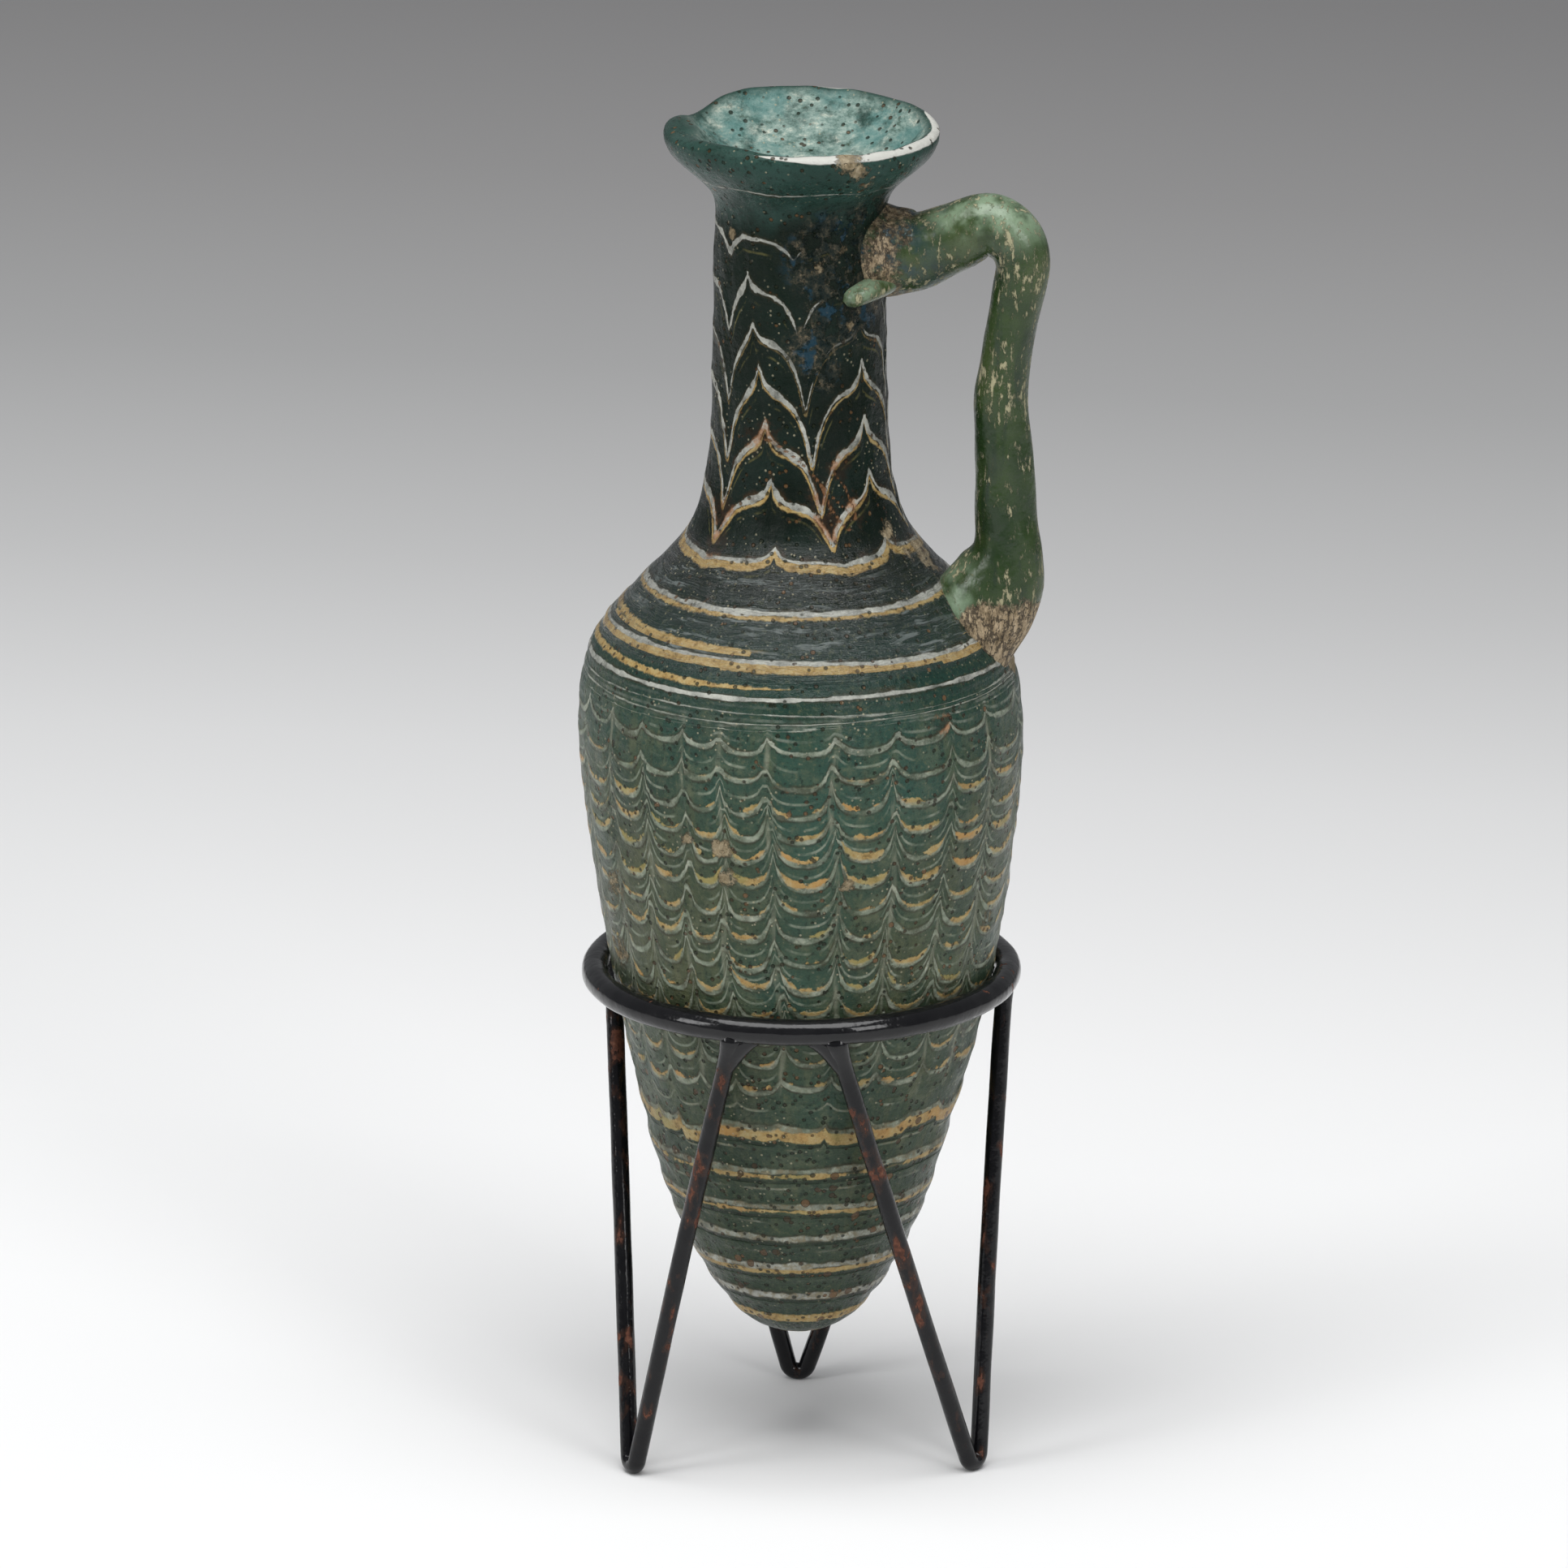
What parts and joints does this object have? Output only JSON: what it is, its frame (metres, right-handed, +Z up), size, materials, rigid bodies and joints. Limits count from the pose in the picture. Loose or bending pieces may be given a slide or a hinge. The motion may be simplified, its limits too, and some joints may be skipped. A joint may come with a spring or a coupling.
{
  "type": "core-formed glass perfume bottle",
  "caption": "Ancient core-formed glass perfume bottle with a long neck, one handle and combed trails, resting in a black wire tripod.",
  "frame": {"origin": "on the table under the middle of the object's outline box, the bottle's axis 1.5 mm to its -X side", "axes": "+Z up along the bottle, +X towards the handle, +Y completes a right-handed frame"},
  "size_m": [0.0528, 0.0498, 0.1549],
  "materials": {
    "weathered_glass": "dark blue-green core-formed glass, nearly opaque, with white and yellow trails, pitted and partly iridescent",
    "black_paint": "glossy black paint on iron wire, with rust where it has chipped"
  },
  "bodies": {
    "root": {"bottle": "weathered_glass", "stand_ring": "black_paint", "stand_leg_left": "black_paint", "stand_leg_right": "black_paint", "stand_leg_back": "black_paint"}
  },
  "joints": []
}
